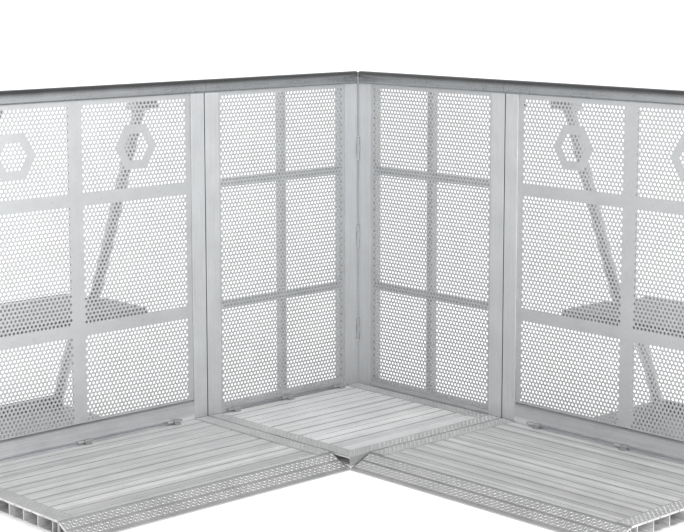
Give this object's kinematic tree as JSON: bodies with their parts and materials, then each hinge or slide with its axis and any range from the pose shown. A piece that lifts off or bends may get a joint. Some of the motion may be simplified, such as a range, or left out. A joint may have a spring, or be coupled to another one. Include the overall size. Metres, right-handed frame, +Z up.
{
  "type": "crowd control barrier",
  "caption": "Aluminium stage-front barrier line round an inside corner, with perforated panels, hinged corner unit, fold-up floor decks, ramps and rear braces with steps.",
  "frame": {"origin": "middle of the footprint on the standing surface; the corner hinge axis stands at x = y = 0.57075 m", "axes": "+Z up; the left wall runs along X and faces -Y, the right wall runs along Y and faces -X"},
  "size_m": [2.3976, 2.3976, 1.21],
  "materials": {
    "frame": "mill finish, lightly brushed",
    "rail": "extruded, satin",
    "sheet": "perforated sheet, dull",
    "deck": "grooved extrusion, scuffed",
    "tread": "raised-pattern tread plate",
    "brace": "drawn tube, dull",
    "step": "tread plate, dull",
    "steel": "zinc plated",
    "knob": "moulded, black"
  },
  "bodies": {
    "left_wall": {"left_module_post_left": "frame", "left_module_post_right": "frame", "left_module_handrail": "rail", "left_module_kick_rail": "rail", "left_module_grid": "frame", "left_module_sheet": "sheet", "left_module_deck_pin": "steel", "left_module_leg_left": "brace", "left_module_leg_right": "brace", "left_module_leg_cross": "brace", "left_module_rear_foot": "brace", "left_module_strut": "brace", "left_module_step_pin": "steel", "left_corner_post_outer": "frame", "left_corner_post_hinge": "frame", "left_corner_handrail": "rail", "left_corner_bottom_bar": "frame", "left_corner_grid": "frame", "left_corner_sheet": "sheet", "left_corner_deck_pin": "steel", "corner_hinge_pin_lower": "steel", "corner_hinge_pin_middle": "steel", "corner_hinge_pin_upper": "steel"},
    "right_wall": {"right_corner_post_outer": "frame", "right_corner_post_hinge": "frame", "right_corner_handrail": "rail", "right_corner_bottom_bar": "frame", "right_corner_grid": "frame", "right_corner_sheet": "sheet", "right_corner_base_plate": "deck", "right_module_post_left": "frame", "right_module_post_right": "frame", "right_module_handrail": "rail", "right_module_kick_rail": "rail", "right_module_grid": "frame", "right_module_sheet": "sheet", "right_module_deck_pin": "steel", "right_module_leg_left": "brace", "right_module_leg_right": "brace", "right_module_leg_cross": "brace", "right_module_rear_foot": "brace", "right_module_strut": "brace", "right_module_step_pin": "steel"},
    "left_deck": {"left_module_deck": "deck", "left_module_ramp": "tread", "left_module_deck_strip_left": "tread", "left_module_deck_strip_right": "tread"},
    "corner_deck": {"left_corner_deck": "deck", "left_corner_deck_edging": "tread"},
    "right_deck": {"right_module_deck": "deck", "right_module_ramp": "tread", "right_module_deck_strip_left": "tread", "right_module_deck_strip_right": "tread"},
    "left_step": {"left_module_step": "step"},
    "right_step": {"right_module_step": "step"},
    "left_knob_lower": {"left_joint_bolt_lower": "knob"},
    "left_knob_upper": {"left_joint_bolt_upper": "knob"},
    "right_knob_lower": {"right_joint_bolt_lower": "knob"},
    "right_knob_upper": {"right_joint_bolt_upper": "knob"}
  },
  "joints": [
    {"name": "corner_swing", "type": "hinge", "parent": "left_wall", "child": "right_wall", "pos_m": [0.57075, 0.57075, 0], "axis": [0, 0, 1], "range_deg": [0, 90]},
    {"name": "left_deck_fold", "type": "hinge", "parent": "left_wall", "child": "left_deck", "pos_m": [-0.67425, 0.56375, 0.05], "axis": [-1, 0, 0], "range_deg": [0, 90]},
    {"name": "corner_deck_fold", "type": "hinge", "parent": "left_wall", "child": "corner_deck", "pos_m": [0.21075, 0.56375, 0.05], "axis": [-1, 0, 0], "range_deg": [0, 90]},
    {"name": "right_deck_fold", "type": "hinge", "parent": "right_wall", "child": "right_deck", "pos_m": [0.56375, -0.67425, 0.05], "axis": [0, 1, 0], "range_deg": [0, 90]},
    {"name": "left_step_fold", "type": "hinge", "parent": "left_wall", "child": "left_step", "pos_m": [-0.67425, 0.62275, 0.43], "axis": [1, 0, 0], "range_deg": [0, 88]},
    {"name": "right_step_fold", "type": "hinge", "parent": "right_wall", "child": "right_step", "pos_m": [0.62275, -0.67425, 0.43], "axis": [0, -1, 0], "range_deg": [0, 88]},
    {"name": "left_knob_lower_turn", "type": "hinge", "parent": "left_wall", "child": "left_knob_lower", "pos_m": [-0.14925, 0.61875, 0.14], "axis": [1, 0, 0], "continuous": true},
    {"name": "right_knob_lower_turn", "type": "hinge", "parent": "right_wall", "child": "right_knob_lower", "pos_m": [0.61875, -0.14925, 0.14], "axis": [0, 1, 0], "continuous": true},
    {"name": "left_knob_upper_turn", "type": "hinge", "parent": "left_wall", "child": "left_knob_upper", "pos_m": [-0.14925, 0.61875, 1.122], "axis": [1, 0, 0], "continuous": true},
    {"name": "right_knob_upper_turn", "type": "hinge", "parent": "right_wall", "child": "right_knob_upper", "pos_m": [0.61875, -0.14925, 1.122], "axis": [0, 1, 0], "continuous": true}
  ]
}
